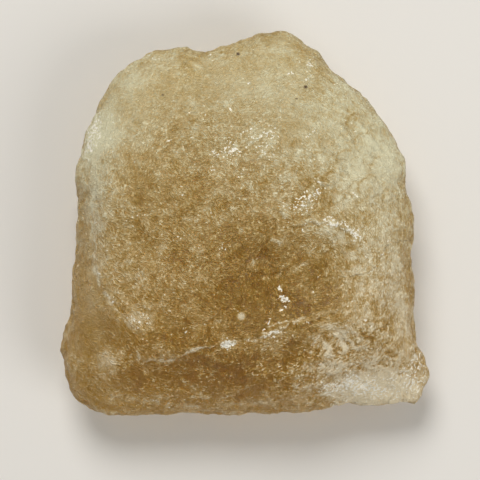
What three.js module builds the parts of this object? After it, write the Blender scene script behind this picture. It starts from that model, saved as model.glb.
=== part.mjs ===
// A raw piece of Libyan desert glass: one lump of natural silica glass, worn by wind-blown sand.
// It lies on its flatter side, as it would on a table, with its broad worn face up.
// Millimetres, +Z up. The origin is on the resting face, under the middle of the outline's box.

import * as THREE from "three";
import { ImprovedNoise } from "three/addons/math/ImprovedNoise.js";
import { mergeVertices } from "three/addons/utils/BufferGeometryUtils.js";

// The ball that is shaped into the stone has 20 * (BALL_DETAIL + 1)^2 faces, spread evenly.
const BALL_DETAIL = 20;

// The stone's outline from above, anticlockwise from the middle of the right side.
const OUTLINE = [
  [26.1, -1.6], [26.15, 1.4], [25.7, 3.3], [24.85, 5.8], [24.85, 7.2], [25.2, 8.7],
  [24.6, 10.2], [24.0, 11.9], [22.4, 14.3], [22.2, 15.5], [20.4, 17.4], [18.45, 20.3],
  [16.75, 21.55], [15.3, 22.9], [13.4, 24.1], [12.4, 25.2], [11.3, 26.75], [10.5, 27.8],
  [9.5, 28.3], [8.5, 29.4], [7.1, 30.25], [5.4, 30.6], [3.8, 30.2], [2.25, 30.0],
  [1.05, 29.5], [-1.4, 28.75], [-3.3, 28.0], [-5.0, 27.5], [-7.65, 26.95], [-8.9, 27.5],
  [-10.6, 27.8], [-12.25, 27.6], [-13.35, 27.15], [-14.7, 27.1], [-15.65, 26.75], [-17.1, 25.85],
  [-18.3, 25.3], [-19.0, 24.4], [-20.5, 23.35], [-21.45, 22.0], [-22.65, 20.2], [-24.35, 16.7],
  [-25.3, 15.0], [-25.9, 13.3], [-26.15, 11.15], [-27.2, 7.7], [-26.7, 3.75], [-26.95, -1.6],
  [-26.75, -4.25], [-27.65, -9.7], [-27.75, -12.7], [-28.0, -14.9], [-28.75, -16.1], [-29.1, -18.4],
  [-29.1, -22.35], [-28.1, -26.25], [-27.15, -27.7], [-26.05, -28.65], [-22.9, -30.0], [-20.75, -30.35],
  [-15.4, -30.6], [-8.65, -30.0], [-5.0, -30.3], [-0.65, -30.25], [1.5, -29.85], [3.7, -30.25],
  [5.15, -29.75], [8.05, -30.1], [12.9, -29.15], [15.8, -28.3], [18.95, -28.85], [21.1, -28.9],
  [23.3, -28.55], [26.65, -28.7], [27.65, -28.2], [28.25, -25.75], [29.15, -23.35], [28.1, -21.15],
  [26.8, -18.75], [26.45, -13.9], [26.15, -11.75], [26.3, -8.85], [25.85, -6.65], [25.95, -4.25],
];

// The thickest place is the crown. From there the upper side domes down very slightly.
const CROWN_HEIGHT = 20.9;
const CROWN_CENTRE = [-2, -5];
const CROWN_SAG = 0.0022;

// The widest line goes round the stone in slow waves about this height, and dips at the horn.
const RIM_HEIGHT = 8.8;
const RIM_WAVES = [
  { times: 1, crest: 1.9, height: 0.7 },
  { times: 2, crest: 2.8, height: 0.5 },
  { times: 5, crest: 0.3, height: 0.35 },
];
const HORN_ANGLE = -0.7;
const HORN_SPREAD = 0.26;
const HORN_DIP = 2.2;

// The underside bulges a little below the floor, and what would lie below it is worn away flat.
const UNDERSIDE_DEPTH = -0.7;
const UNDERSIDE_SAG = 0.0034;

// The edge's section is round over its outer part: the larger the power, the tighter the round.
// The lips are the least heights of the edge's section above and below the widest line.
const EDGE_POWER = 7;
const LIP_ABOVE = 3.2;
const LIP_BELOW = 4.2;
const LIP_SOFT = 0.8;

// Worn flats of the upper side. Each one leaves the crown along a brow and falls towards its facing.
const UPPER_FLATS = [
  { brow: [-4, -19.2], facing: -97, fall: 0.62, soft: 0.9 },
  { brow: [9, -15.6], facing: -74, fall: 0.34, soft: 0.8 },
  { brow: [-22.6, -3], facing: 177, fall: 1.0, soft: 1.0 },
  { brow: [-19.6, -14.2], facing: 219, fall: 0.46, soft: 1.0 },
  { brow: [20.4, -7], facing: 3, fall: 0.95, soft: 1.6 },
  { brow: [14.5, -20.4], facing: -62, fall: 0.95, soft: 2.4 },
  { brow: [11, 7], facing: 35, fall: 0.4, soft: 2.6 },
  { brow: [-2, 11], facing: 91, fall: 0.36, soft: 3.6 },
  { brow: [-18, 14], facing: 143, fall: 0.66, soft: 2.0 },
  { brow: [-1, 25.2], facing: 109, fall: 1.2, soft: 0.8 },
];

// Worn flats of the underside, rising from the bulge towards their facing.
const LOWER_FLATS = [
  { brow: [18, 2], facing: 8, fall: 0.4, soft: 1.4 },
  { brow: [13, 14], facing: 47, fall: 0.34, soft: 1.4 },
  { brow: [0, 15], facing: 88, fall: 0.24, soft: 2.0 },
  { brow: [-17, 14], facing: 140, fall: 0.36, soft: 1.6 },
  { brow: [-20, -6], facing: 188, fall: 0.32, soft: 1.2 },
  { brow: [-5, -20], facing: 260, fall: 0.26, soft: 1.4 },
  { brow: [15, -19], facing: 304, fall: 0.24, soft: 1.6 },
];

// Oval hollows of the upper side: centre, half lengths, the long axis's turn in degrees, and depth.
// One of a negative depth is a low swelling.
const UPPER_HOLLOWS = [
  { centre: [9.0, -8.2], half: [10.2, 7.6], turn: 10, depth: 1.9 },
  { centre: [2.2, -5.6], half: [5.2, 3.4], turn: 30, depth: 0.45 },
  { centre: [5.6, -20.6], half: [6.4, 3.2], turn: 14, depth: 0.8 },
  { centre: [-9.5, -23.4], half: [7.6, 3.4], turn: -4, depth: 0.7 },
  { centre: [-11.4, -17.2], half: [3.8, 2.4], turn: -24, depth: 0.5 },
  { centre: [-21.8, -22.6], half: [4.2, 3.4], turn: 20, depth: -0.8 },
  { centre: [-23.4, -14.0], half: [2.6, 4.6], turn: 8, depth: 0.45 },
  { centre: [-15.5, 5.5], half: [5.2, 3.2], turn: -35, depth: 0.45 },
  { centre: [-17.0, -3.0], half: [5.2, 3.0], turn: -28, depth: 0.4 },
  { centre: [-8.0, 9.5], half: [6.6, 3.8], turn: 15, depth: 0.4 },
  { centre: [-9.0, -6.5], half: [6.0, 3.0], turn: -18, depth: 0.4 },
  { centre: [12.6, 3.2], half: [4.4, 2.6], turn: 12, depth: 0.6 },
  { centre: [4.0, 6.4], half: [4.6, 3.0], turn: 70, depth: 0.4 },
  { centre: [16.2, 9.5], half: [2.8, 2.4], turn: 60, depth: 0.5 },
  { centre: [20.9, 8.8], half: [2.6, 3.0], turn: 0, depth: 0.5 },
  { centre: [17.4, 14.8], half: [3.0, 2.2], turn: 120, depth: 0.45 },
  { centre: [12.2, 17.0], half: [3.2, 2.2], turn: 130, depth: 0.4 },
  { centre: [22.2, 2.4], half: [2.2, 3.4], turn: 0, depth: 0.5 },
  { centre: [6.0, 24.2], half: [4.0, 2.6], turn: 30, depth: 0.45 },
  { centre: [-7.4, 23.4], half: [3.4, 4.6], turn: 0, depth: 0.6 },
  { centre: [-15.4, 20.0], half: [4.0, 2.8], turn: 40, depth: 0.45 },
  { centre: [22.6, -14.0], half: [2.4, 6.4], turn: -3, depth: 0.6 },
  { centre: [14.2, -18.6], half: [3.4, 1.9], turn: -50, depth: 0.5 },
];

// The underside's hollows lie on a spiral, so that they spread evenly without a pattern.
const LOWER_HOLLOW_COUNT = 34;
const LOWER_HOLLOW_REACH = 28;
const LOWER_HOLLOW_HALF = [2.6, 5.6];
const LOWER_HOLLOW_DEPTH = 0.13;
const GOLDEN_ANGLE = Math.PI * (3 - Math.sqrt(5));

// Uneven wear over the whole stone: the length of each swell and how far it stands out.
const SWELLS = [
  { length: 9.5, height: 0.4 },
  { length: 4.6, height: 0.26 },
  { length: 2.7, height: 0.16 },
];
const SWELL_AT_RIM = 0.35;
const SWELL_START = new THREE.Vector3(7.3, 2.1, 5.9);

// A plain round slab of about the stone's size sets how the ball's faces spread over it.
const SLAB_RADIUS = 28;
const SLAB_HALF_HEIGHT = 8;
const SLAB_STEPS = 600;

const noise = new ImprovedNoise();

// The lesser of two values, with the corner between them rounded over about the given width.
function softMin(a, b, width) {
  const mix = Math.max(width - Math.abs(a - b), 0) / width;
  return Math.min(a, b) - (mix * mix * width) / 4;
}

function softMax(a, b, width) {
  return -softMin(-a, -b, width);
}

// How far a point lies past a flat's brow, along its facing.
function pastBrow(flat, x, y) {
  const facing = THREE.MathUtils.degToRad(flat.facing);
  return (x - flat.brow[0]) * Math.cos(facing) + (y - flat.brow[1]) * Math.sin(facing);
}

// A hollow's depth at a point: all of it at the centre, none outside the oval.
function hollowDepth(hollow, x, y) {
  const turn = THREE.MathUtils.degToRad(hollow.turn);
  const dx = x - hollow.centre[0];
  const dy = y - hollow.centre[1];
  const along = (dx * Math.cos(turn) + dy * Math.sin(turn)) / hollow.half[0];
  const across = (dy * Math.cos(turn) - dx * Math.sin(turn)) / hollow.half[1];
  return hollow.depth * Math.max(1 - along * along - across * across, 0);
}

function crown(x, y) {
  const dx = x - CROWN_CENTRE[0];
  const dy = y - CROWN_CENTRE[1];
  return CROWN_HEIGHT - CROWN_SAG * (dx * dx + dy * dy);
}

function upperHeight(x, y) {
  let height = crown(x, y);
  for (const flat of UPPER_FLATS) {
    const plane = crown(...flat.brow) - flat.fall * pastBrow(flat, x, y);
    height = softMin(height, plane, flat.soft);
  }
  for (const hollow of UPPER_HOLLOWS) {
    height -= hollowDepth(hollow, x, y);
  }
  return height;
}

// Hollows on a spiral, wider and narrower by turns.
function spiralHollows() {
  const hollows = [];
  for (let i = 0; i < LOWER_HOLLOW_COUNT; i++) {
    const reach = LOWER_HOLLOW_REACH * Math.sqrt((i + 0.5) / LOWER_HOLLOW_COUNT);
    const angle = i * GOLDEN_ANGLE;
    const half = THREE.MathUtils.lerp(...LOWER_HOLLOW_HALF, 0.5 + 0.5 * Math.sin(i * 2.3));
    hollows.push({
      centre: [reach * Math.cos(angle), reach * Math.sin(angle)],
      half: [half, half * (0.6 + 0.3 * Math.cos(i * 1.7))],
      turn: i * 47,
      depth: half * LOWER_HOLLOW_DEPTH,
    });
  }
  return hollows;
}

const lowerHollows = spiralHollows();

function bulge(x, y) {
  return UNDERSIDE_DEPTH + UNDERSIDE_SAG * (x * x + y * y);
}

function lowerHeight(x, y) {
  let height = bulge(x, y);
  for (const flat of LOWER_FLATS) {
    const plane = bulge(...flat.brow) + flat.fall * pastBrow(flat, x, y);
    height = softMax(height, plane, flat.soft);
  }
  for (const hollow of lowerHollows) {
    height += hollowDepth(hollow, x, y);
  }
  return height;
}

// The height of the widest line at an angle round the stone.
function rimHeight(angle) {
  const fromHorn = (angle - HORN_ANGLE) / HORN_SPREAD;
  let height = RIM_HEIGHT - HORN_DIP * Math.exp(-fromHorn * fromHorn);
  for (const wave of RIM_WAVES) {
    height += wave.height * Math.cos(wave.times * (angle - wave.crest));
  }
  return height;
}

// The outline as a distance from the middle for any angle, read from a smooth closed curve.
function outlineReach() {
  const corners = OUTLINE.map(([x, y]) => new THREE.Vector3(x, y, 0));
  const curve = new THREE.CatmullRomCurve3(corners, true, "centripetal");
  const samples = curve.getPoints(OUTLINE.length * 8).map((p) => ({
    angle: Math.atan2(p.y, p.x),
    reach: Math.hypot(p.x, p.y),
  }));
  samples.pop();
  samples.sort((a, b) => a.angle - b.angle);
  const first = samples[0];
  const last = samples[samples.length - 1];
  samples.unshift({ angle: last.angle - 2 * Math.PI, reach: last.reach });
  samples.push({ angle: first.angle + 2 * Math.PI, reach: first.reach });
  return (angle) => {
    const after = samples.findIndex((s) => s.angle >= angle);
    const a = samples[after - 1];
    const b = samples[after];
    return THREE.MathUtils.mapLinear(angle, a.angle, b.angle, a.reach, b.reach);
  };
}

const reachAt = outlineReach();

// The edge's round: 1 over the middle of the stone, 0 at the outline.
function edgeRound(share) {
  return Math.sqrt(Math.max(1 - share ** EDGE_POWER, 0));
}

// Rings of the slab, from the middle to the edge: each one's share of the way to the outline,
// and the area inside it.
function slabRings() {
  const rings = [{ share: 0, area: 0 }];
  for (let i = 1; i <= SLAB_STEPS; i++) {
    const share = Math.sin((i / SLAB_STEPS) * (Math.PI / 2)) ** (2 / EDGE_POWER);
    const before = rings[i - 1];
    const run = SLAB_RADIUS * (share - before.share);
    const drop = SLAB_HALF_HEIGHT * (edgeRound(before.share) - edgeRound(share));
    const middle = (SLAB_RADIUS * (share + before.share)) / 2;
    rings.push({ share, area: before.area + middle * Math.hypot(run, drop) });
  }
  return rings;
}

const rings = slabRings();

// The share of the way to the outline that has the given share of the slab's area inside it.
function shareWithArea(areaShare) {
  const wanted = THREE.MathUtils.clamp(areaShare, 0, 1) * rings[SLAB_STEPS].area;
  const after = rings.findIndex((ring) => ring.area >= wanted);
  if (after === 0) {
    return 0;
  }
  const a = rings[after - 1];
  const b = rings[after];
  return THREE.MathUtils.mapLinear(wanted, a.area, b.area, a.share, b.share);
}

// The place on the stone of a point on the unit ball.
function placeOnStone(point) {
  const angle = Math.atan2(point.y, point.x);
  const share = shareWithArea(1 - Math.abs(point.z));
  const reach = share * reachAt(angle);
  const x = reach * Math.cos(angle);
  const y = reach * Math.sin(angle);
  const rim = rimHeight(angle);
  const top = softMax(upperHeight(x, y), rim + LIP_ABOVE, LIP_SOFT);
  const under = softMin(lowerHeight(x, y), rim - LIP_BELOW, LIP_SOFT);
  const face = point.z >= 0 ? top : under;
  return new THREE.Vector3(x, y, rim + (face - rim) * edgeRound(share));
}

function swell(p, normal) {
  let height = 0;
  for (const { length, height: most } of SWELLS) {
    const at = p.clone().divideScalar(length).add(SWELL_START);
    height += most * noise.noise(at.x, at.y, at.z);
  }
  return height * THREE.MathUtils.lerp(SWELL_AT_RIM, 1, Math.abs(normal.z));
}

// Moves every corner of a closed mesh to the place that the function gives for it.
function moveCorners(geometry, place) {
  const position = geometry.getAttribute("position");
  for (let i = 0; i < position.count; i++) {
    const moved = place(new THREE.Vector3().fromBufferAttribute(position, i), i);
    position.setXYZ(i, moved.x, moved.y, moved.z);
  }
  geometry.computeVertexNormals();
}

function stoneGeometry() {
  const ball = new THREE.IcosahedronGeometry(1, BALL_DETAIL);
  ball.deleteAttribute("normal");
  ball.deleteAttribute("uv");
  const geometry = mergeVertices(ball, 1e-5);
  moveCorners(geometry, placeOnStone);
  const normals = geometry.getAttribute("normal").clone();
  moveCorners(geometry, (p, i) => {
    const normal = new THREE.Vector3().fromBufferAttribute(normals, i);
    p.addScaledVector(normal, swell(p, normal));
    p.z = Math.max(p.z, 0);
    return p;
  });
  geometry.computeBoundingBox();
  const middle = geometry.boundingBox.getCenter(new THREE.Vector3());
  geometry.translate(-middle.x, -middle.y, 0);
  return geometry;
}

const glass = new THREE.Mesh(
  stoneGeometry(),
  new THREE.MeshStandardMaterial({ color: 0xa58c5f, roughness: 0.5, metalness: 0 }),
);
glass.name = "desert_glass";

const stone = new THREE.Group();
stone.add(glass);

export default stone;
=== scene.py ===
import math

import bmesh
import bpy
import numpy as np
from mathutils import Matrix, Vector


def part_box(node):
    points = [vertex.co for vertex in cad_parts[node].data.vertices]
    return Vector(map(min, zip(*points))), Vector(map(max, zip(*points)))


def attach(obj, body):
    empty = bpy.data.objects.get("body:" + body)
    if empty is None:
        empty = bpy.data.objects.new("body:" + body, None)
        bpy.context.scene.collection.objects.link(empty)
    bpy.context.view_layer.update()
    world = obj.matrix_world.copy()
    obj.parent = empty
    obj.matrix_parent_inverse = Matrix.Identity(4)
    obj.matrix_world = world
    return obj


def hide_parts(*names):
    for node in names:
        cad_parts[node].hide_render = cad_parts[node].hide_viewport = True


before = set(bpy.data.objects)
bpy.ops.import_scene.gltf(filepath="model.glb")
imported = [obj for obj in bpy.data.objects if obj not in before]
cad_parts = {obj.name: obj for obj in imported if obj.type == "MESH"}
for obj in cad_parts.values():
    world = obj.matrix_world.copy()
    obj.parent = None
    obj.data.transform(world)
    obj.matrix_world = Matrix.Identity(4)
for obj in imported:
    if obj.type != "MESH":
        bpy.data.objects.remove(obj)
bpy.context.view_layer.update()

# Raw Libyan desert glass, lying on its flatter side under a camera that looks straight down.
# Lengths are in millimetres in the stone's own frame. They become metres where Blender needs them.
# A place is x, y, half width, half height and turn in degrees, seen from above. It has a soft edge.
# A pair of numbers that is called a range gives where something starts and where it is complete.

NODE = "desert_glass"
MM = 0.001
TINY = 1e-6
FLOOR_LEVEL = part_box(NODE)[0][2] / MM

# The stone's faces. Those that face up are split once more than those underneath.
WIDE_FACE = 0.52
FACET_SMOOTHING = 10
FINE_ABOVE = 0.1

# How far the surface faces up and how flat it lies, by the z of its normal
UPWARD_RANGE = (0.0, 0.5)
FLAT_RANGE = (0.3, 0.8)

# How high above the floor the relief sets in, so that the stone still rests on its flat place
ABOVE_FLOOR_RANGE = (0.02, 0.8)

# Crests and hollows are where the mesh departs from a smoothed one, by up to this height
CREST_SMOOTHING = 3
CREST_HEIGHT = 0.03

# The bowl worn into the broad face, which the surface strokes run round
BOWL_CENTRE = (9.0, -8.2)
BOWL_REACH = 7.5
BOWL_RIM_WIDTH = 3.0
BOWL_RIM_PULL = 1.2

# Where the surface strokes run: x, y, reach and direction in degrees
STROKE_DIRECTIONS = [
    (-15.0, -4.0, 9.0, -25.0),
    (-16.0, -12.0, 6.0, -30.0),
    (-4.0, -12.0, 8.0, -4.0),
    (-2.0, 4.0, 9.0, -12.0),
    (22.0, -8.0, 6.0, 86.0),
    (16.0, 10.0, 9.0, -52.0),
    (-4.0, 22.0, 9.0, 18.0),
    (-21.0, 12.0, 7.0, 56.0),
    (-6.0, -24.0, 8.0, 3.0),
    (-22.0, -20.0, 7.0, -24.0),
    (15.0, -19.0, 5.0, 62.0),
    (26.0, -24.0, 4.0, 80.0),
]
STROKE_WANDER = 0.4
STROKE_WANDER_SIZE = 1.3
STROKE_WANDER_SEED = 15

# Where the fine pattern is weaker: a place, then by how much. It is stronger where that is below 0.
QUIET_PLACES = [
    (-1.0, 23.0, 16.0, 6.0, 10.0, 0.55),
    (17.5, 10.0, 6.5, 9.0, 35.0, 0.4),
    (7.0, 14.5, 6.0, 5.0, 0.0, 0.4),
    (-25.0, -8.0, 2.5, 14.0, 0.0, 0.3),
    (-19.0, 18.0, 7.0, 5.0, 50.0, 0.4),
    (-14.0, 7.0, 8.0, 5.0, 0.0, 0.25),
    (-23.4, -15.4, 4.0, 6.0, 0.0, 0.4),
    (17.0, -23.0, 11.0, 6.0, 0.0, -0.9),
    (-5.0, -24.0, 15.0, 4.0, 0.0, -0.7),
    (22.0, -10.0, 4.0, 10.0, 0.0, -0.3),
]
LEAST_STRENGTH = 0.3
MOST_STRENGTH = 1.9

# Bends, which make patterns less regular: size, reach and seed
SCALE_BEND = (2.6, 0.7, 21)
ROUND_SCALE_BEND = (1.8, 0.35, 25)
SCOOP_BEND = (4.0, 0.9, 41)
WORM_BEND = (2.0, 0.9, 61)
CHIP_BEND = (1.6, 0.8, 101)

# Worn scales at the upper right, tilted like roof tiles, with painted shade along their upper left edges
# and over their upper left sides, and painted highlights along their lower right edges
SCALE_PLACE = (16.5, 9.5, 10.5, 8.0, -52.0)
SCALE_SIZE = 3.3
SCALE_SEED = 31
SCALE_TILT = np.array([0.6, 0.5, -0.6])
SCALE_TILT_WIDTH = 0.45
SCALE_LEAST_TILT = 0.3
SCALE_RISE = 0.5
SCALE_CUP = 0.16
SCALE_GROOVE = 0.08
SCALE_EDGE_WIDTH = 0.2
SCALE_SHADOW_WAY = np.array([0.6, -0.8, 0.0])
SCALE_NUMBER_RANGE = (0.1, 0.8)
SCALE_SHADOW_RANGE = (0.0, 0.6)
SCALE_HIGHLIGHT_RANGE = (0.1, 0.6)
SCALE_SHADING_LINE = 0.5
SCALE_SHADE = 0.1
HIGHLIGHT_EDGE_SHARE = 0.7

# Round scales that stand out among them: x, y and radius
ROUND_SCALES = [
    (15.5, 9.8, 1.7),
    (13.3, 6.9, 1.3),
    (20.7, 8.6, 1.6),
    (18.4, 12.4, 1.7),
    (19.0, 5.6, 1.9),
    (16.8, 15.8, 1.4),
    (11.3, 9.6, 1.3),
    (21.9, 4.2, 1.2),
]
ROUND_SCALE_RISE = 0.34
ROUND_SCALE_EDGE_WIDTH = 0.12
ROUND_SCALE_SHADOW_RANGE = (-0.2, 0.9)
ROUND_SCALE_HIGHLIGHT_RANGE = (0.1, 0.9)
ROUND_SCALE_SHADING_LINE = 0.95

# Scoops, curly worn ridges, pits in some cells, bumps on the rim and the hollows of the chips
SCOOP_SIZE = 4.2
SCOOP_SEED = 51
SCOOP_DEPTH = 0.25
SCOOP_LEAST_DEPTH = 0.4
SCOOP_LEVEL = 0.3
WORM_SIZE = 1.5
WORM_SEED = 71
WORM_RISE = 0.04
WORM_STEEPNESS = 3.2
PIT_SIZE = 1.9
PIT_SEED = 81
PIT_DEPTH = 0.1
PIT_REACH = 0.1
PIT_REACH_SPREAD = 0.22
PIT_LEAST_NUMBER = 0.8
RIM_BUMP_SIZE = 1.9
RIM_BUMP_SEED = 85
RIM_BUMP_RISE = 0.25
CHIP_DEPTH = 0.1
CHIP_SPREAD = 1.35

# Ledges: a bent line, the drop on its right, how far that reaches and how white its broken lip is
BOTTOM_LEDGE = [
    (-17.6, -20.8),
    (-15.6, -21.3),
    (-11.0, -21.0),
    (-9.2, -19.6),
    (-6.4, -19.3),
    (-2.9, -18.4),
    (2.3, -17.7),
    (6.6, -15.5),
    (11.2, -14.6),
    (15.1, -13.1),
]
LEDGES = [
    (BOTTOM_LEDGE, 0.3, 1.6, 0.5),
    ([(4.2, 1.9), (7.2, -0.2), (10.0, 0.1), (12.7, 0.0), (15.1, -0.8), (17.6, -2.4)], 0.4, 1.3, 0.75),
    ([(-23.9, 3.4), (-23.4, -7.2), (-22.7, -9.6), (-19.6, -13.4), (-15.0, -18.8)], 0.2, 1.2, 0.45),
    ([(4.7, -9.4), (5.1, -10.8), (5.8, -11.8), (6.6, -12.6)], 0.2, 0.7, 1.7),
    ([(4.0, -13.0), (3.5, -14.2), (3.1, -15.4), (3.3, -16.2)], 0.15, 0.7, 1.6),
    ([(10.4, 6.9), (11.7, 5.6), (13.0, 4.8)], 0.35, 0.8, 1.3),
    ([(16.9, -1.6), (18.6, -5.0), (18.9, -10.0), (17.6, -15.0)], 0.25, 1.5, 0.4),
]
LEDGE_FRAY = 0.4
LEDGE_FRAY_SIZE = 1.3
LEDGE_FRAY_SEED = 91
LEDGE_STEP_WIDTH = 0.3
LEDGE_TAPER = 0.08
LIP_WIDTH = 0.3
LIP_BREAK_SIZE = 0.9
LIP_BREAK_SEED = 95
LIP_BREAK_RANGE = (-0.4, 0.4)
LIP_LEAST_WHITE = 0.3

# White broken chips: a place, then how white
CHIPS = [
    (-2.4, 11.4, 1.3, 1.2, 0.0, 1.0),
    (2.6, 13.2, 2.0, 1.4, 35.0, 0.55),
    (-0.4, 14.8, 1.0, 0.6, 0.0, 0.6),
    (3.4, 10.8, 0.6, 0.6, 0.0, 0.6),
    (-4.9, 10.3, 0.6, 0.5, 30.0, 0.8),
    (-5.3, 8.3, 0.6, 0.45, 20.0, 0.8),
    (-7.7, 7.9, 0.5, 0.5, 0.0, 0.6),
    (-12.1, 12.9, 0.55, 0.35, 10.0, 0.9),
    (-0.6, 7.5, 0.6, 0.35, 0.0, 0.75),
    (7.3, 2.6, 1.5, 0.9, 10.0, 0.6),
    (9.6, 3.6, 1.2, 1.0, 30.0, 0.65),
    (11.1, 5.5, 0.5, 0.7, 20.0, 0.9),
    (12.9, 0.1, 1.9, 0.6, -10.0, 0.85),
    (16.2, -1.0, 1.5, 0.5, -25.0, 0.45),
    (16.3, 4.7, 0.35, 0.7, 0.0, 0.7),
    (9.9, 13.8, 0.9, 0.3, 0.0, 0.8),
    (15.0, 21.2, 1.4, 0.35, -35.0, 0.6),
    (20.2, 16.6, 1.8, 0.5, -50.0, 0.45),
    (9.8, 24.6, 0.55, 0.6, -40.0, 0.85),
    (9.2, 22.6, 0.8, 0.35, -20.0, 0.8),
    (6.8, 23.4, 0.9, 0.35, -20.0, 0.65),
    (-14.6, 26.0, 0.9, 0.4, 10.0, 0.75),
    (-5.4, 26.1, 1.0, 0.3, 10.0, 0.6),
    (-24.8, 11.6, 0.5, 0.6, 0.0, 0.8),
    (-2.8, -18.6, 1.1, 0.55, 0.0, 1.5),
    (-9.3, -17.4, 0.9, 0.5, 10.0, 0.65),
    (-16.4, -14.9, 1.6, 1.0, -30.0, 0.55),
    (5.1, -17.2, 1.9, 0.35, 22.0, 0.75),
    (-10.2, -2.1, 0.8, 0.6, 0.0, 0.55),
    (-3.9, -3.7, 0.6, 0.35, 0.0, 0.6),
    (-17.2, 0.6, 1.0, 0.6, 0.0, 0.55),
    (-12.4, -28.3, 0.7, 0.25, 0.0, 0.75),
    (18.1, -14.8, 0.6, 0.6, 0.0, 0.55),
    (21.0, -4.9, 0.3, 0.7, 0.0, 0.65),
    (14.6, -25.4, 2.2, 0.7, 10.0, 0.5),
    (19.6, -26.0, 5.6, 1.9, 0.0, 0.85),
    (26.8, -21.0, 1.0, 2.0, -35.0, 0.5),
    (27.0, -22.6, 1.4, 3.4, 0.0, 0.45),
    # White crumbs, which also paint the highlight on the upper left edge
    (-24.4, 14.2, 1.5, 2.8, -28.0, 0.85),
]

# Painted glints: white highlights on single chips, x, y and half width
GLINTS = [
    (-17.4, 9.6, 0.26),
    (-20.4, 5.3, 0.24),
    (-16.2, 5.6, 0.22),
    (-9.9, 4.4, 0.24),
    (-18.6, -6.0, 0.28),
    (-20.7, -12.2, 0.26),
    (5.4, -13.3, 0.42),
    (6.0, -12.9, 0.3),
    (2.6, -16.4, 0.28),
    (11.1, -8.3, 0.24),
    (25.2, -4.0, 0.26),
    (21.9, -2.8, 0.28),
    (8.6, -1.1, 0.26),
    (-14.6, -27.8, 0.28),
    (-8.7, 17.2, 0.28),
    (0.3, 21.8, 0.28),
    (0.4, 19.7, 0.24),
    (-2.6, 17.7, 0.3),
]

# Dark specks, the round bubble and the ring that the fine pattern leaves free: x, y and radius
DARK_SPECKS = [(-1.4, 26.5, 0.34), (9.1, 21.2, 0.36), (7.7, 19.3, 0.22), (-13.1, 19.9, 0.24)]
BUBBLE = (-0.9, -14.3, 0.66)
BUBBLE_RING = (-0.9, -14.3, 0.95)
MARK_EDGE_RANGE = (0.6, 1.3)

# Frost all over, what the sides' painted sheen, chips and bubble add to it, and what the scales' painted
# shade takes away and their painted highlights add
FROST_START = 0.45
# A painted sheen on the faces that turn sideways or down
SIDE_SHEEN_FROST = 0.2
CHIP_FROST = 0.3
BUBBLE_FROST = 1.0
EDGE_SHADING_FROST = 0.22
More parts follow.
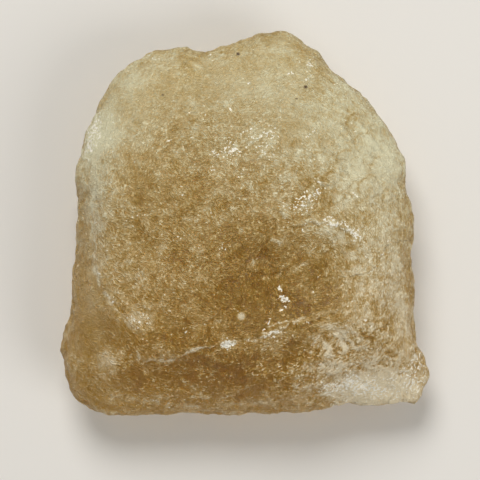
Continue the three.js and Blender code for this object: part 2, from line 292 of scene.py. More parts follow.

# Places with more frost, which are paler, and places with less, which are clearer and deeper. Some rows
# also paint a highlight or shade, as their notes say.
FROST_AND_PAINTED_LIGHT_PLACES = [
    (1.0, 22.5, 16.0, 6.5, 8.0, 0.32),
    (18.0, 19.0, 8.0, 2.6, -48.0, 0.1),
    (20.2, 11.0, 2.0, 4.0, 0.0, 0.25),
    (-16.0, 24.0, 8.0, 2.4, 32.0, 0.25),
    (9.8, 18.0, 5.0, 2.8, 0.0, 0.2),
    (-15.0, 20.0, 7.0, 5.0, 40.0, 0.1),
    (0.5, 17.2, 2.0, 2.6, 0.0, 0.15),
    (0.8, 9.8, 3.8, 2.2, 0.0, 0.22),
    (2.6, 2.0, 2.2, 1.6, 0.0, 0.25),
    (-2.6, 14.2, 1.8, 2.0, 0.0, 0.25),
    (-17.0, 12.0, 2.6, 5.0, 0.0, 0.15),
    (-8.6, 17.0, 3.0, 2.2, 0.0, 0.15),
    (4.4, 27.6, 2.6, 1.6, 0.0, 0.25),
    (-17.5, 11.7, 4.0, 4.0, 0.0, 0.15),
    # This row and the next: frost with a painted highlight down the upper left edge
    (-23.3, 13.3, 3.4, 5.0, -28.0, 0.7),
    (-23.4, 4.0, 2.6, 6.0, 0.0, 0.45),
    (-23.4, -8.0, 2.4, 7.0, 0.0, 0.15),
    (-19.0, 22.0, 3.0, 5.0, 35.0, 0.2),
    (-0.3, 11.7, 3.8, 2.6, 20.0, 0.15),
    (-7.0, 11.5, 4.0, 3.0, 45.0, 0.2),
    (7.0, 8.3, 3.2, 5.5, 0.0, 0.22),
    (18.0, 10.0, 8.0, 11.0, 35.0, 0.52),
    (13.0, -1.4, 5.0, 1.5, -12.0, 0.35),
    (5.6, -2.4, 1.6, 3.6, 0.0, 0.3),
    (13.6, -8.6, 2.2, 2.6, 0.0, 0.15),
    (12.6, -17.8, 2.2, 2.0, 0.0, 0.45),
    (18.6, -8.0, 1.8, 7.5, 0.0, 0.25),
    (24.4, -15.0, 1.4, 5.0, 0.0, 0.3),
    (22.5, -9.0, 2.8, 11.0, 0.0, 0.38),
    (16.7, -13.4, 1.8, 2.6, -30.0, 0.35),
    (11.6, -22.2, 4.0, 1.8, 15.0, 0.45),
    (19.4, -20.4, 4.2, 2.0, 0.0, 0.3),
    (12.4, -21.4, 1.2, 2.2, 20.0, 0.35),
    (20.0, -25.8, 6.6, 3.0, 0.0, 1.6),
    (-21.7, -20.9, 1.5, 1.8, -30.0, 0.3),
    (-21.0, -24.5, 3.0, 2.0, 0.0, 0.15),
    (-16.0, -8.0, 6.0, 7.0, -25.0, 0.1),
    (-15.8, 3.6, 3.6, 1.1, 0.0, -0.25),
    (-1.9, -2.4, 3.0, 1.8, 0.0, -0.3),
    # Painted shade on the bottom bevel
    (-3.0, -23.5, 16.0, 3.6, 2.0, -0.45),
    (-9.0, -20.8, 3.0, 1.2, 10.0, -0.2),
    (-2.0, -13.4, 6.0, 2.8, -10.0, -0.42),
    # Painted shade on the bowl's upper left wall
    (3.0, -8.4, 3.6, 3.0, -25.0, -0.35),
    (10.4, -6.4, 2.6, 2.2, 0.0, -0.3),
    (9.8, -12.6, 3.6, 2.6, 0.0, -0.4),
    (-2.0, -9.4, 3.0, 2.2, 0.0, -0.35),
    (2.0, -4.6, 5.0, 1.6, 0.0, -0.25),
    (7.4, -19.4, 2.4, 2.8, 0.0, -0.35),
    (15.6, 2.2, 3.0, 1.6, 0.0, 0.25),
    (12.0, -5.0, 2.4, 1.2, 0.0, 0.2),
    (5.6, -0.6, 2.4, 1.2, 0.0, -0.3),
    (-12.0, -22.4, 3.4, 1.6, 0.0, 0.2),
    (-21.6, -22.6, 1.6, 1.4, 0.0, 0.2),
    (12.4, -22.4, 1.8, 1.4, 0.0, 0.25),
    (5.4, -25.0, 1.3, 1.6, 0.0, 0.35),
    (11.0, -24.4, 1.8, 1.2, 20.0, -0.3),
    (-5.4, -14.0, 2.4, 1.6, 0.0, 0.25),
    (-8.0, -8.6, 3.0, 1.6, 0.0, 0.2),
    (17.6, -5.0, 1.6, 1.4, 0.0, 0.2),
    (3.6, -16.4, 1.6, 1.4, 0.0, -0.25),
    (6.0, -10.2, 1.4, 1.8, 0.0, -0.25),
    (22.4, 8.0, 1.8, 2.6, 0.0, 0.15),
    (-12.6, 7.4, 1.6, 1.6, 0.0, 0.25),
    (-8.6, 6.6, 2.2, 1.4, 0.0, -0.3),
    (-20.8, 2.8, 1.6, 2.0, 0.0, 0.28),
    (-4.0, 4.4, 5.0, 1.2, 0.0, 0.25),
    (-10.0, -17.2, 4.6, 2.2, 10.0, -0.4),
    (-20.0, -18.0, 1.8, 3.0, 0.0, -0.25),
]

# Pale wisps of frost: a bent line, its half width and how pale
LEFT_WISP = [
    (-24.0, 8.0),
    (-23.9, 0.4),
    (-23.5, -7.2),
    (-22.2, -10.6),
    (-19.0, -14.6),
    (-15.0, -18.8),
]
WISPS = [
    (BOTTOM_LEDGE, 0.22, 0.8),
    ([(0.6, -16.4), (2.6, -16.8), (4.6, -16.6), (6.6, -15.9)], 0.16, 0.8),
    ([(1.6, -15.4), (3.6, -15.6), (5.4, -15.1), (7.6, -15.0), (9.6, -14.2)], 0.16, 0.7),
    ([(8.0, -15.0), (11.0, -13.8), (14.0, -13.4), (16.0, -12.2)], 0.16, 0.6),
    ([(-18.0, -17.6), (-17.2, -19.4), (-16.8, -21.4), (-15.6, -23.0), (-12.6, -22.9)], 0.2, 0.6),
    (LEFT_WISP, 0.22, 0.5),
    ([(13.0, -0.9), (15.9, -4.1), (17.0, -7.0), (17.2, -10.3), (16.0, -13.5)], 1.3, 0.35),
    ([(12.4, -15.6), (14.2, -17.6), (15.6, -20.2)], 0.3, 0.8),
    ([(13.6, -15.0), (15.4, -17.2), (17.4, -20.6)], 0.3, 0.8),
    ([(11.0, -17.0), (12.6, -19.6), (13.0, -22.0)], 0.35, 0.6),
    ([(15.0, -15.5), (17.0, -17.5), (19.6, -18.6)], 0.3, 0.6),
    ([(8.2, -22.6), (9.4, -20.6), (9.6, -19.4)], 0.35, 0.8),
    ([(4.6, -22.4), (5.6, -24.0), (5.2, -25.2)], 0.3, 0.7),
    ([(8.0, -4.2), (9.4, -4.4), (10.0, -5.4)], 0.3, 0.4),
    ([(3.0, -2.4), (4.2, -2.6), (5.2, -3.6)], 0.4, 0.5),
    ([(-1.2, -7.8), (0.4, -6.6), (1.5, -5.8)], 0.35, 0.9),
    ([(6.7, -8.2), (8.3, -6.6), (9.9, -6.0), (9.3, -7.4)], 0.25, 0.5),
    ([(5.5, -6.2), (5.0, -7.4), (4.7, -8.6)], 0.25, 0.6),
    ([(-20.0, -26.6), (-14.0, -28.2), (-8.0, -28.6), (0.0, -28.4), (8.0, -27.8)], 0.3, 0.4),
    ([(-20.5, -25.4), (-15.0, -27.0), (-8.0, -27.4), (-2.0, -27.2)], 0.25, 0.3),
    ([(-6.6, 25.6), (-2.0, 26.0), (2.3, 27.4)], 0.3, 0.12),
    ([(12.0, 21.5), (15.0, 18.0), (18.2, 14.6), (21.2, 10.4)], 0.25, 0.35),
    ([(-1.4, -0.9), (-0.4, -1.5), (-1.2, -2.2)], 0.25, 0.35),
]
WISP_FRAY = 0.4
WISP_FRAY_SIZE = 1.3
WISP_FRAY_SEED = 97
WISP_BREAK_SIZE = 1.1
WISP_BREAK_SEED = 99
WISP_BREAK_RANGE = (-0.5, 0.2)
WISP_TAPER = 0.15

# The frost's fine pattern: sizes, the noise range that each part of it covers, and how much it adds
NOISE_ROUGHNESS = 0.6
CLOUD_SIZE = 4.5
CLOUD_SWIRL = 0.6
CLOUD_FROST = 0.85
MOTTLE_SIZE = 1.3
MOTTLE_FROST = 0.9
CREST_FROST = 0.12
STROKE_CELL = 2.4
STROKE_SPREAD = 0.9
STROKE_STRETCH = 3.6
FINE_STROKE_SIZE = 0.15
FINE_STROKE_RANGE = (-0.2, 0.25)
FINE_STROKE_FROST = 0.58
CURL_SIZE = 0.3
CURL_RANGE = (0.05, 0.17)
CURL_FROST = 0.3
PATCH_SIZE = 2.2
PATCH_RANGE = (-0.1, 0.1)
GRAIN_RANGE = (0.02, 0.18)
GRAIN_FROST = 0.42
LINE_MEAN = 0.38
LINE_PALLOR = 0.6
FROST_RANGE = (-0.4, 1.55)
PALLOR_RANGE = (-0.34, 1.18)

# White crumbs of broken glass: how strong their noise has to be, and where that takes less
CRUMB_SIZE = 0.36
CRUMB_START = 0.26
CRUMB_EDGE = 0.11
CRUMBS_IN_CHIPS = 0.3
CRUMBS_ON_FROST = 0.08

# The bump in the material, finer than the mesh's own relief
STROKE_BUMP = 0.55
BUMP_DEPTH = 0.1

# Colours. The frost turns warmer from the top of the photo to its bottom, between these two y.
COOL_ABOVE = 20.0
WARM_BELOW = -24.0
CLEAR_COLOUR = (0.85, 0.53, 0.05, 1)
COOL_FROST_COLOUR = (0.9, 0.88, 0.61, 1)
WARM_FROST_COLOUR = (0.95, 0.84, 0.59, 1)
CHALK_COLOUR = (1.0, 0.97, 0.85, 1)
SPECK_COLOUR = (0.09, 0.05, 0.02, 1)
DEEP_COLOUR = (0.7, 0.5, 0.0, 1)
DEEP_DENSITY = 60.0

# The glass. Frost makes it rougher, and frost and white crumbs make it less clear.
GLASS_IOR = 1.46
CLEAR_ROUGHNESS = 0.34
FROST_ROUGHNESS = 0.2
CLEAREST = 0.94
LEAST_FROST = 0.05
FROST_CLOUDING = 0.76
CHALK_CLOUDING = 0.6

# The floor and the lights. A lamp has a place, then a width in metres and a power in watts.
FLOOR_WIDTH = 6.0
FLOOR_GAP = 0.03
FLOOR_COLOUR = (0.82, 0.81, 0.79, 1)
FLOOR_ROUGHNESS = 0.8
LAMPS = [
    ("key", (-120, 480, 600), 0.4, 3.9),
    ("side", (480, -320, 460), 0.5, 2.0),
]
LAMP_COLOUR = (1.0, 0.97, 0.92)
SKY_COLOUR = (1.0, 0.97, 0.91, 1)
SKY_STRENGTH = 0.24

# The camera, over the middle of the photo's frame. The start of its view is in metres.
CAMERA_PLACE = (-1.1, -2.6, 458.0)
CAMERA_LENS = 213.6
CAMERA_VIEW_START = 0.01

# The random fields' lattice is turned, so that its planes lie along no side of the stone.
LATTICE_TURN = np.array([[0.36, 0.48, -0.8], [-0.8, 0.6, 0.0], [0.48, 0.64, 0.6]])

# Numbers that mix whole numbers well: one for each axis, one for the seed, and a shift with each round
WORD = 0xFFFFFFFF
AXIS_FACTORS = (0x8DA6B343, 0xD8163841, 0xCB1AB31F)
SEED_FACTOR = 0x9E3779B1
MIXING_ROUNDS = [(15, 0x2C1B3C6D), (12, 0x297A2D39), (15, 1)]

# How far apart the seeds are for a bend's three directions, and for a cell's centre and its number
BEND_SEED_STEP = 3
NUMBER_SEED_STEP = 7


def hashed(cells, seed):
    """Repeatable random numbers from 0 to 1, one for each row of three whole numbers."""
    words = (cells & WORD).astype(np.uint32)
    mixed = np.full(words.shape[:-1], (seed * SEED_FACTOR) & WORD, dtype=np.uint32)
    for axis, factor in enumerate(AXIS_FACTORS):
        mixed = mixed ^ (words[..., axis] * np.uint32(factor))
    for shift, factor in MIXING_ROUNDS:
        mixed = (mixed ^ (mixed >> np.uint32(shift))) * np.uint32(factor)
    return mixed / 2.0**32


def soft_noise(points, size, seed):
    """A soft random field from -1 to 1 with bumps about size across."""
    scaled = points @ LATTICE_TURN / size
    corner = np.floor(scaled).astype(np.int64)
    part = scaled - corner
    part = part**3 * (part * (part * 6 - 15) + 10)
    total = np.zeros(len(points))
    for step in np.ndindex(2, 2, 2):
        weight = np.prod(np.where(np.array(step) == 1, part, 1 - part), axis=1)
        total += weight * hashed(corner + np.array(step), seed)
    return 2 * total - 1


def layered_noise(points, size, seed, layers=3):
    """Soft noise with finer and weaker layers added to it."""
    total = np.zeros(len(points))
    for layer in range(layers):
        total += soft_noise(points, size / 2**layer, seed + layer) / 2**layer
    return total


def bent_places(points, size, reach, seed):
    """The points, each pushed a soft random way by up to about reach."""
    seeds = [seed + BEND_SEED_STEP * axis for axis in range(3)]
    push = [layered_noise(points, size, axis_seed, layers=2) for axis_seed in seeds]
    return points + reach * np.stack(push, axis=1)


def nearest_cells(points, size, seed):
    """With a centre in each cell: how near the two nearest are, the way to the first and its number."""
    scaled = points @ LATTICE_TURN / size
    home = np.floor(scaled).astype(np.int64)
    first = np.full(len(points), np.inf)
    second = first.copy()
    way = np.zeros((len(points), 3))
    number = np.zeros(len(points))
    for step in np.ndindex(3, 3, 3):
        cell = home + np.array(step) - 1
        centre = cell + np.stack([hashed(cell, seed + axis) for axis in range(3)], axis=1)
        offset = centre - scaled
        distance = np.linalg.norm(offset, axis=1)
        nearer = distance < first
        second = np.where(nearer, first, np.minimum(second, distance))
        first = np.where(nearer, distance, first)
        way = np.where(nearer[:, None], offset, way)
        number = np.where(nearer, hashed(cell, seed + NUMBER_SEED_STEP), number)
    return first, second, (way * size) @ LATTICE_TURN.T, number


def soft_step(value, low, high):
    """Rises smoothly from 0 at low to 1 at high."""
    share = np.clip((value - low) / (high - low), 0, 1)
    return share * share * (3 - 2 * share)


def tapered(along, share):
    """1 on a line, fading out over a share of it at each end."""
    return soft_step(along, 0.0, share) * (1 - soft_step(along, 1 - share, 1.0))


def spot(points, x, y, half_x, half_y, turn=0.0):
    """1 at a place, fading out over an ellipse that is turned by some degrees."""
    angle = math.radians(turn)
    right, up = points[:, 0] - x, points[:, 1] - y
    along = right * math.cos(angle) + up * math.sin(angle)
    across = up * math.cos(angle) - right * math.sin(angle)
    return np.exp(-((along / half_x) ** 2) - (across / half_y) ** 2)


def spots(points, places):
    """The sum of some places, each with its strength last."""
    total = np.zeros(len(points))
    for *place, strength in places:
        total += strength * spot(points, *place)
    return total


def line_side(points, path):
    """Distance from a bent line seen from above, above 0 on its left, and the share gone along it."""
    best = np.full(len(points), np.inf)
    side = np.zeros(len(points))
    along = np.zeros(len(points))
    gone = 0.0
    for start, end in zip(path, path[1:]):
        start, end = np.array(start), np.array(end)
        run = end - start
        length = float(np.linalg.norm(run))
        offset = points[:, :2] - start
        share = np.clip(offset @ run / length**2, 0, 1)
        gap = offset - share[:, None] * run
        distance = np.linalg.norm(gap, axis=1)
        turn = run[0] * offset[:, 1] - run[1] * offset[:, 0]
        nearer = distance < best
        best = np.where(nearer, distance, best)
        side = np.where(nearer, np.sign(turn), side)
        along = np.where(nearer, gone + share * length, along)
        gone += length
    return best * side, along / gone


def facing_up(normals):
    """1 where the surface faces up, 0 where it faces sideways or down."""
    return soft_step(normals[:, 2], *UPWARD_RANGE)


def stroke_direction(points, normals):
    """The direction of the surface strokes at each point, lying in the surface.

    A stroke looks the same after half a turn, so the mean is taken over doubled angles.
    """
    double = np.zeros((len(points), 2))
    for x, y, reach, degrees in STROKE_DIRECTIONS:
        weight = spot(points, x, y, reach, reach)
        angle = 2 * math.radians(degrees)
        double += weight[:, None] * np.array([math.cos(angle), math.sin(angle)])
    right, up = points[:, 0] - BOWL_CENTRE[0], points[:, 1] - BOWL_CENTRE[1]
    round_bowl = 2 * (np.arctan2(up, right) + math.pi / 2)
    from_rim = (np.hypot(right, up) - BOWL_REACH) / BOWL_RIM_WIDTH
    on_rim = BOWL_RIM_PULL * np.exp(-from_rim * from_rim)
    double += on_rim[:, None] * np.stack([np.cos(round_bowl), np.sin(round_bowl)], axis=1)
    angle = np.arctan2(double[:, 1], double[:, 0]) / 2
    angle += STROKE_WANDER * layered_noise(points, STROKE_WANDER_SIZE, STROKE_WANDER_SEED, layers=2)
    flow = np.stack([np.cos(angle), np.sin(angle), np.zeros(len(points))], axis=1)
    flow -= normals * np.sum(flow * normals, axis=1)[:, None]
    return flow / np.maximum(np.linalg.norm(flow, axis=1), TINY)[:, None]


def stroke_strength(points):
    """How strongly the fine pattern stands out at each point."""
    return np.clip(1 - spots(points, QUIET_PLACES), LEAST_STRENGTH, MOST_STRENGTH)


def scale_relief(points):
    """Worn scales that overlap, each tilted and cupped, and their painted edge shading: above 0 painted
    shade, below 0 painted highlight.
    """
    near, after, way, number = nearest_cells(bent_places(points, *SCALE_BEND), SCALE_SIZE, SCALE_SEED)
    groove = 1 - soft_step(after - near, 0.0, SCALE_EDGE_WIDTH)
    groove = groove * soft_step(number, *SCALE_NUMBER_RANGE)
    # Painted shade on each scale's upper left edge and side, painted highlight on its lower right edge
    off_centre = way @ SCALE_SHADOW_WAY
    facing = off_centre / np.maximum(np.linalg.norm(way, axis=1), TINY)
    line = soft_step(facing, *SCALE_SHADOW_RANGE) - HIGHLIGHT_EDGE_SHARE * soft_step(-facing, *SCALE_HIGHLIGHT_RANGE)
    edges = SCALE_SHADING_LINE * groove * line + SCALE_SHADE * off_centre / SCALE_SIZE
    inside = soft_step(after - near, 0.0, SCALE_TILT_WIDTH)
    inside = SCALE_LEAST_TILT + (1 - SCALE_LEAST_TILT) * inside
    tilt = -inside * (way @ SCALE_TILT) / SCALE_SIZE
    height = SCALE_RISE * tilt + SCALE_CUP * near**2 - SCALE_GROOVE * edges
    place = spot(points, *SCALE_PLACE)
    return place * height, place * edges


def round_scale_relief(points):
    """The round scales' low domes, and their painted edge shading: painted shade towards the upper left,
    painted highlight opposite.
    """
    height = np.zeros(len(points))
    edges = np.zeros(len(points))
    bent = bent_places(points, *ROUND_SCALE_BEND)
    for x, y, radius in ROUND_SCALES:
        right, up = bent[:, 0] - x, bent[:, 1] - y
        distance = np.hypot(right, up) / radius
        facing = (up - right) / (math.sqrt(2) * radius * np.maximum(distance, TINY))
        on_edge = np.exp(-(((distance - 1) / ROUND_SCALE_EDGE_WIDTH) ** 2))
        # Painted shade on the ring towards the upper left, painted highlight on the ring opposite
        dark = soft_step(facing, *ROUND_SCALE_SHADOW_RANGE)
        pale = soft_step(-facing, *ROUND_SCALE_HIGHLIGHT_RANGE)
        edges += ROUND_SCALE_SHADING_LINE * on_edge * (dark - HIGHLIGHT_EDGE_SHARE * pale)
        height += ROUND_SCALE_RISE * np.clip(1 - distance**2, 0, 1)
    return height, edges


def scoop_relief(points):
    """Shallow scoops all over the stone that meet in soft ridges."""
    near, _, _, number = nearest_cells(bent_places(points, *SCOOP_BEND), SCOOP_SIZE, SCOOP_SEED)
    depth = SCOOP_LEAST_DEPTH + (1 - SCOOP_LEAST_DEPTH) * number
    return SCOOP_DEPTH * depth * (near**2 - SCOOP_LEVEL)


def worm_relief(points):
    """Curly worn ridges."""
    noise = soft_noise(bent_places(points, *WORM_BEND), WORM_SIZE, WORM_SEED)
    return WORM_RISE * (1 - WORM_STEEPNESS * np.abs(noise))


def pit_relief(points):
    """Small round pits, in some of the cells."""
    near, _, _, number = nearest_cells(points, PIT_SIZE, PIT_SEED)
    reach = PIT_REACH + PIT_REACH_SPREAD * number
    return -PIT_DEPTH * np.clip(1 - (near / reach) ** 2, 0, 1) * (number > PIT_LEAST_NUMBER)


def rim_relief(points, normals):
    """Small bumps on the sides, so that the outline is worn and uneven."""
    sideways = 1 - soft_step(np.abs(normals[:, 2]), *FLAT_RANGE)
    return sideways * RIM_BUMP_RISE * layered_noise(points, RIM_BUMP_SIZE, RIM_BUMP_SEED)


def ledge_relief(points):
    """The ledges' steps, and how white the broken glass along their lips is."""
    height = np.zeros(len(points))
    white = np.zeros(len(points))
    fray = LEDGE_FRAY * layered_noise(points, LEDGE_FRAY_SIZE, LEDGE_FRAY_SEED)
    broken = soft_step(soft_noise(points, LIP_BREAK_SIZE, LIP_BREAK_SEED), *LIP_BREAK_RANGE)
    broken = LIP_LEAST_WHITE + (1 - LIP_LEAST_WHITE) * broken
    for path, drop, reach, lip in LEDGES:
        side, along = line_side(points, path)
        side = side + fray
        ends = tapered(along, LEDGE_TAPER)
        near = np.exp(-np.abs(side) / reach)
        step = soft_step(side, -LEDGE_STEP_WIDTH, LEDGE_STEP_WIDTH) - 0.5
        height += drop * ends * near * step
        white += lip * ends * broken * np.exp(-((side / LIP_WIDTH) ** 2))
    return height, white


def wisp_frost(points):
    """The pale wisps, frayed and broken up."""
    frost = np.zeros(len(points))
    fray = WISP_FRAY * layered_noise(points, WISP_FRAY_SIZE, WISP_FRAY_SEED)
    broken = soft_step(soft_noise(points, WISP_BREAK_SIZE, WISP_BREAK_SEED), *WISP_BREAK_RANGE)
    for path, width, pale in WISPS:
        side, along = line_side(points, path)
        across = np.exp(-(((side + fray) / width) ** 2))
        frost += pale * tapered(along, WISP_TAPER) * broken * across
    return frost


def chip_whiteness(points):
    """How thickly white crumbs lie at each point: the chips, with uneven outlines, and the painted
    glints.
    """
    chips = [(x, y, CHIP_SPREAD * wide, CHIP_SPREAD * high, *rest) for x, y, wide, high, *rest in CHIPS]
    glints = [(x, y, half, half, 0.0, 1.0) for x, y, half in GLINTS]
    return spots(bent_places(points, *CHIP_BEND), chips) + spots(points, glints)


def relief(points, normals):
    """How far each point moves outwards, how white its broken glass and painted glints are, and the
    scales' painted edge shading there.
    """
    upward = facing_up(normals)
    ledges, lips = ledge_relief(points)
    chips = chip_whiteness(points)
    scales, edges = scale_relief(points)
    domes, ring_shading = round_scale_relief(points)
    height = scoop_relief(points) + pit_relief(points) + rim_relief(points, normals)
    height += stroke_strength(points) * worm_relief(points)
    height += upward * (scales + domes + ledges - CHIP_DEPTH * chips)
    return height, upward * (lips + chips), edges + upward * ring_shading


def vertex_values(mesh, field):
    """A mesh's vertex places or normals, one row each."""
    values = np.zeros(len(mesh.vertices) * 3)
    mesh.vertices.foreach_get(field, values)
    return values.reshape(-1, 3)


def store(mesh, name, values):
    """Keeps one number or one direction for each vertex, for the material to read."""
    kind, field = ("FLOAT", "value") if values.ndim == 1 else ("FLOAT_VECTOR", "vector")
    mesh.attributes.new(name, kind, "POINT").data.foreach_set(field, values.astype(np.float32).ravel())


def neighbour_mean(mesh, values):
    """Each vertex's mean over the vertices that it shares an edge with."""
    ends = np.zeros(len(mesh.edges) * 2, dtype=np.int64)
    mesh.edges.foreach_get("vertices", ends)
    first, second = ends[::2], ends[1::2]
    total = np.zeros_like(values)
    np.add.at(total, first, values[second])
    np.add.at(total, second, values[first])
    return total / np.bincount(ends, minlength=len(values))[:, None]


def round_marks(points, marks):
    """1 on small round marks, given by x, y and radius. The range of their soft edge is in radii."""
    total = np.zeros(len(points))
    for x, y, radius in marks:
        distance = np.hypot(points[:, 0] - x, points[:, 1] - y) / radius
        total = np.maximum(total, 1 - soft_step(distance, *MARK_EDGE_RANGE))
    return total


def fine_stone(node):
    """The CAD stone's shape in fine even faces, finest on its upper side, with its facets smoothed."""
    copy = bpy.data.objects.new("copy", node.data.copy())
    bpy.context.scene.collection.objects.link(copy)
    even = copy.modifiers.new("even faces", "REMESH")
    even.mode = "VOXEL"
    even.voxel_size = WIDE_FACE * MM
    smooth = copy.modifiers.new("no facets", "SMOOTH")
    smooth.iterations = FACET_SMOOTHING
    shaped = copy.evaluated_get(bpy.context.evaluated_depsgraph_get())
    mesh = bpy.data.meshes.new_from_object(shaped)
    bpy.data.objects.remove(copy)
    shape = bmesh.new()
    shape.from_mesh(mesh)
    upper = {edge for face in shape.faces if face.normal.z > FINE_ABOVE for edge in face.edges}
    bmesh.ops.subdivide_edges(shape, edges=list(upper), cuts=1, smooth=1.0, use_grid_fill=True)
    for face in shape.faces:
        face.smooth = True
    shape.to_mesh(mesh)
    shape.free()
    return mesh


def raise_relief(mesh):
    """Moves the vertices by the relief. Gives their places, the white of chips and painted glints, and
    the scales' painted edge shading.
    """
    points = vertex_values(mesh, "co") / MM
    normals = vertex_values(mesh, "normal")
    height, white, edges = relief(points, normals)
    above_floor = soft_step(points[:, 2] - FLOOR_LEVEL, *ABOVE_FLOOR_RANGE)
    points = points + normals * (height * above_floor)[:, None]
    points[:, 2] = np.maximum(points[:, 2], FLOOR_LEVEL)
    mesh.vertices.foreach_set("co", (points * MM).ravel())
    mesh.update()
    return points, white, edges


def crests(mesh, points, normals):
    """1 on the relief's crests and -1 in its hollows."""
    smooth = points
    for _ in range(CREST_SMOOTHING):
        smooth = neighbour_mean(mesh, smooth)
    return np.clip(np.sum((points - smooth) * normals, axis=1) / CREST_HEIGHT, -1, 1)


def store_surface(mesh, points, white, edges):
    """Keeps what the material reads at each vertex."""
    normals = vertex_values(mesh, "normal")
    upward = facing_up(normals)
    bubble = upward * round_marks(points, [BUBBLE])
    bubble_ring = upward * round_marks(points, [BUBBLE_RING])
    frost = FROST_START + upward * (spots(points, FROST_AND_PAINTED_LIGHT_PLACES) + wisp_frost(points))
    frost += BUBBLE_FROST * bubble
    # The sides get a painted sheen, and the scales' edges painted shade and painted highlights
    frost += SIDE_SHEEN_FROST * (1 - upward) + CHIP_FROST * np.minimum(white, 1) - EDGE_SHADING_FROST * edges
    along = stroke_direction(points, normals)
    store(mesh, "frost", frost)
    store(mesh, "crest", crests(mesh, points, normals))
    store(mesh, "strength", stroke_strength(points) * (1 - bubble_ring))
    store(mesh, "warmth", 1 - soft_step(points[:, 1], WARM_BELOW, COOL_ABOVE))
    # The chips' white, the ledges' lips and the painted glints
    store(mesh, "chips", white)
    store(mesh, "speck", upward * round_marks(points, DARK_SPECKS))
    store(mesh, "along", along)
    store(mesh, "across", np.cross(normals, along))


def make_stone():
    """The stone: the CAD solid's shape with its fine relief, and its glass."""
    mesh = fine_stone(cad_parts[NODE])
    mesh.name = "stone"
    store_surface(mesh, *raise_relief(mesh))
    stone = bpy.data.objects.new("stone", mesh)
    bpy.context.scene.collection.objects.link(stone)
    mesh.materials.clear()
    mesh.materials.append(glass_material())
    return stone


class Nodes:
    """Short calls that add nodes to one material. Sizes are in millimetres."""

    def __init__(self, material):
        self.tree = material.node_tree
        self.place = self.add("ShaderNodeTexCoord").outputs["Object"]

    def add(self, kind, **settings):
        """Adds a node and sets its fields."""
        node = self.tree.nodes.new(kind)
        for name, value in settings.items():
            setattr(node, name, value)
        return node

    def put(self, socket, value):
        """Links the socket to another one, or sets its value."""
        if isinstance(value, bpy.types.NodeSocket):
            self.tree.links.new(value, socket)
        else:
            socket.default_value = value

    def math(self, operation, first, second, clamp=False):
        """Combines two numbers."""
        node = self.add("ShaderNodeMath", operation=operation, use_clamp=clamp)
        self.put(node.inputs[0], first)
        self.put(node.inputs[1], second)
        return node.outputs[0]

    def vector(self, operation, first, second, output="Vector"):
        """Combines two vectors."""
        node = self.add("ShaderNodeVectorMath", operation=operation)
        self.put(node.inputs[0], first)
        self.put(node.inputs[1], second)
        return node.outputs[output]

    def total(self, *parts):
        """The sum of some values, each with its weight."""
        sum_so_far = 0.0
        for value, weight in parts:
            sum_so_far = self.math("ADD", sum_so_far, self.math("MULTIPLY", value, weight))
        return sum_so_far

    def mix(self, share, first, second):
        """The first colour, turned into the second by some share."""
        node = self.add("ShaderNodeMix", data_type="RGBA")
        for name, value in zip(("Factor_Float", "A_Color", "B_Color"), (share, first, second)):
            self.put(next(i for i in node.inputs if i.identifier == name), value)
        return next(o for o in node.outputs if o.identifier == "Result_Color")

    def between(self, value, low, high, at_low=0.0, at_high=1.0):
        """Goes smoothly from at_low to at_high while the value goes from low to high."""
        node = self.add("ShaderNodeMapRange", interpolation_type="SMOOTHSTEP")
        self.put(node.inputs["Value"], value)
        node.inputs["From Min"].default_value = low
        node.inputs["From Max"].default_value = high
        node.inputs["To Min"].default_value = at_low
        node.inputs["To Max"].default_value = at_high
        return node.outputs["Result"]

    def stored(self, name, output="Fac"):
        """What store() kept at each vertex under this name."""
        return self.add("ShaderNodeAttribute", attribute_name=name).outputs[output]

    def noise(self, size, detail=2.0, distortion=0.0, place=None):
        """Noise from about -0.5 to 0.5."""
        node = self.add("ShaderNodeTexNoise")
        self.put(node.inputs["Vector"], place or self.place)
        node.inputs["Scale"].default_value = 1 / (size * MM)
        node.inputs["Detail"].default_value = detail
        node.inputs["Roughness"].default_value = NOISE_ROUGHNESS
        node.inputs["Distortion"].default_value = distortion
        return self.math("SUBTRACT", node.outputs["Fac"], 0.5)

    def along_strokes(self):
        """Places drawn out along the stroke direction, turned a little in each of many cells."""
        cells = self.add("ShaderNodeTexVoronoi")
        self.put(cells.inputs["Vector"], self.place)
        cells.inputs["Scale"].default_value = 1 / (STROKE_CELL * MM)
        offset = self.vector("SUBTRACT", self.place, cells.outputs["Position"])
        along = self.vector("DOT_PRODUCT", offset, self.stored("along", "Vector"), "Value")
        across = self.vector("DOT_PRODUCT", offset, self.stored("across", "Vector"), "Value")
        flat = self.add("ShaderNodeCombineXYZ")
        self.put(flat.inputs["X"], along)
        self.put(flat.inputs["Y"], across)
        chance = self.add("ShaderNodeSeparateColor")
        self.put(chance.inputs["Color"], cells.outputs["Color"])
        turned = self.add("ShaderNodeVectorRotate", rotation_type="Z_AXIS")
        self.put(turned.inputs["Vector"], flat.outputs["Vector"])
        turn = self.math("SUBTRACT", chance.outputs["Red"], 0.5)
        self.put(turned.inputs["Angle"], self.math("MULTIPLY", turn, STROKE_SPREAD))
        drawn = self.vector("MULTIPLY", turned.outputs["Vector"], (1 / STROKE_STRETCH, 1, 1))
        return self.vector("ADD", drawn, cells.outputs["Color"])


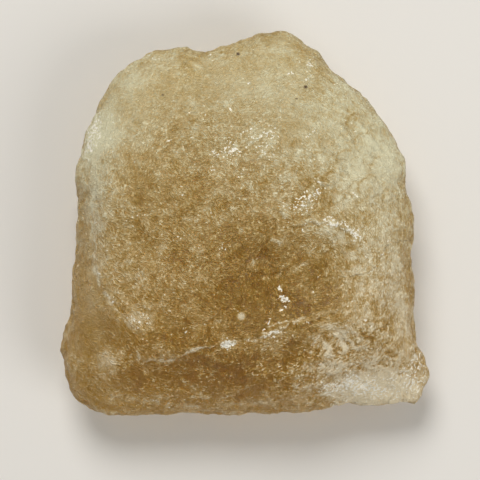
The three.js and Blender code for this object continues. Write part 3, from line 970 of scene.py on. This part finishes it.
def frost_nodes(nodes, mottle, fine_strokes, curls, grain):
    """How frosted the glass is, and how pale that makes it."""
    clouds = nodes.total(
        (nodes.noise(CLOUD_SIZE, detail=1.0, distortion=CLOUD_SWIRL), CLOUD_FROST),
        (mottle, MOTTLE_FROST),
        (nodes.stored("crest"), CREST_FROST),
    )
    lines = nodes.total(
        (fine_strokes, FINE_STROKE_FROST),
        (curls, CURL_FROST),
        (grain, GRAIN_FROST),
    )
    strength = nodes.stored("strength")
    clouds = nodes.math("ADD", nodes.stored("frost"), nodes.math("MULTIPLY", clouds, strength))
    lines = nodes.math("MULTIPLY", nodes.math("SUBTRACT", lines, LINE_MEAN), strength)
    frost = nodes.between(nodes.math("ADD", clouds, lines), *FROST_RANGE, LEAST_FROST)
    pallor = nodes.between(nodes.total((clouds, 1.0), (lines, LINE_PALLOR)), *PALLOR_RANGE)
    return frost, pallor


def crumb_nodes(nodes, crumb_noise, frost, patch):
    """How strong the crumbs' noise is with what chips and frost add to it."""
    return nodes.total(
        (crumb_noise, 1.0),
        (nodes.stored("chips"), CRUMBS_IN_CHIPS),
        (nodes.math("MULTIPLY", frost, patch), CRUMBS_ON_FROST),
    )


def colour_nodes(nodes, pallor, chalk, speck):
    """The glass's colour: deeper where it is clear, white on crumbs and dark on specks."""
    pale = nodes.mix(nodes.stored("warmth"), COOL_FROST_COLOUR, WARM_FROST_COLOUR)
    colour = nodes.mix(nodes.math("MULTIPLY", pallor, pallor), CLEAR_COLOUR, pale)
    colour = nodes.mix(chalk, colour, CHALK_COLOUR)
    return nodes.mix(speck, colour, SPECK_COLOUR)


def bump_nodes(nodes, height):
    """The surface's direction with a fine bump on it."""
    bump = nodes.add("ShaderNodeBump")
    bump.inputs["Distance"].default_value = BUMP_DEPTH * MM
    bump.inputs["Strength"].default_value = 1.0
    nodes.put(bump.inputs["Height"], height)
    return bump.outputs["Normal"]


def absorption_nodes(nodes):
    """The tint that light takes on its way through the glass."""
    absorption = nodes.add("ShaderNodeVolumeAbsorption")
    absorption.inputs["Color"].default_value = DEEP_COLOUR
    absorption.inputs["Density"].default_value = DEEP_DENSITY
    return absorption.outputs["Volume"]


def glass_material():
    """Honey-yellow glass that the wind has frosted: clear between the frost, white where chipped."""
    material = bpy.data.materials.new("frosted desert glass")
    material.use_nodes = True
    nodes = Nodes(material)
    shader = next(n for n in nodes.tree.nodes if n.type == "BSDF_PRINCIPLED")
    output = next(n for n in nodes.tree.nodes if n.type == "OUTPUT_MATERIAL")

    mottle = nodes.noise(MOTTLE_SIZE, detail=3.0)
    patch = nodes.between(nodes.noise(PATCH_SIZE), *PATCH_RANGE)
    drawn = nodes.along_strokes()
    fine_strokes = nodes.between(nodes.noise(FINE_STROKE_SIZE, place=drawn), *FINE_STROKE_RANGE)
    curls = nodes.between(nodes.noise(CURL_SIZE, detail=1.0, place=drawn), *CURL_RANGE)
    crumb_noise = nodes.noise(CRUMB_SIZE, detail=1.0)
    grain = nodes.between(crumb_noise, *GRAIN_RANGE)

    curls_in_patches = nodes.math("MULTIPLY", curls, patch)
    frost, pallor = frost_nodes(nodes, mottle, fine_strokes, curls_in_patches, grain)
    crumbs = crumb_nodes(nodes, crumb_noise, frost, patch)
    chalk = nodes.between(crumbs, CRUMB_START, CRUMB_START + CRUMB_EDGE)
    speck = nodes.stored("speck")
    clouding = nodes.total((frost, FROST_CLOUDING), (chalk, CHALK_CLOUDING), (speck, 1.0))
    clearness = nodes.math("SUBTRACT", CLEAREST, clouding, clamp=True)
    roughness = nodes.math("ADD", nodes.math("MULTIPLY", frost, FROST_ROUGHNESS), CLEAR_ROUGHNESS)
    height = nodes.total((mottle, 1.0), (fine_strokes, STROKE_BUMP), (curls, STROKE_BUMP), (crumbs, 1.0))

    nodes.put(shader.inputs["Base Color"], colour_nodes(nodes, pallor, chalk, speck))
    nodes.put(shader.inputs["Transmission Weight"], clearness)
    nodes.put(shader.inputs["Roughness"], roughness)
    shader.inputs["IOR"].default_value = GLASS_IOR
    nodes.put(shader.inputs["Normal"], bump_nodes(nodes, height))
    nodes.put(output.inputs["Volume"], absorption_nodes(nodes))
    return material


def floor_material():
    """One even pale colour."""
    material = bpy.data.materials.new("pale floor")
    material.use_nodes = True
    shader = next(n for n in material.node_tree.nodes if n.type == "BSDF_PRINCIPLED")
    shader.inputs["Base Color"].default_value = FLOOR_COLOUR
    shader.inputs["Roughness"].default_value = FLOOR_ROUGHNESS
    return material


def make_floor():
    """A plain pale floor just under the stone."""
    bpy.ops.mesh.primitive_plane_add(size=FLOOR_WIDTH, location=(0, 0, (FLOOR_LEVEL - FLOOR_GAP) * MM))
    floor = bpy.context.object
    floor.name = "floor"
    floor.data.materials.append(floor_material())


def make_lights():
    """Soft lamps above, and even light from all round."""
    for name, place, width, power in LAMPS:
        light = bpy.data.lights.new(name, "AREA")
        light.shape = "DISK"
        light.size = width
        light.energy = power
        light.color = LAMP_COLOUR
        lamp = bpy.data.objects.new(name, light)
        lamp.location = [c * MM for c in place]
        lamp.rotation_euler = (-lamp.location).to_track_quat("-Z", "Y").to_euler()
        bpy.context.scene.collection.objects.link(lamp)
    world = bpy.data.worlds.new("soft sky")
    world.use_nodes = True
    sky = world.node_tree.nodes["Background"]
    sky.inputs["Color"].default_value = SKY_COLOUR
    sky.inputs["Strength"].default_value = SKY_STRENGTH
    bpy.context.scene.world = world


def make_camera():
    """The photo's view: straight down on the stone, from far enough for a slight perspective."""
    camera = bpy.data.objects.new("camera", bpy.data.cameras.new("camera"))
    camera.data.lens = CAMERA_LENS
    camera.data.clip_start = CAMERA_VIEW_START
    camera.location = [c * MM for c in CAMERA_PLACE]
    bpy.context.scene.collection.objects.link(camera)
    bpy.context.scene.camera = camera


make_camera()
stone = make_stone()
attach(stone, "root")
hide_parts(NODE)
make_floor()
make_lights()
bpy.context.scene.view_settings.view_transform = "Standard"
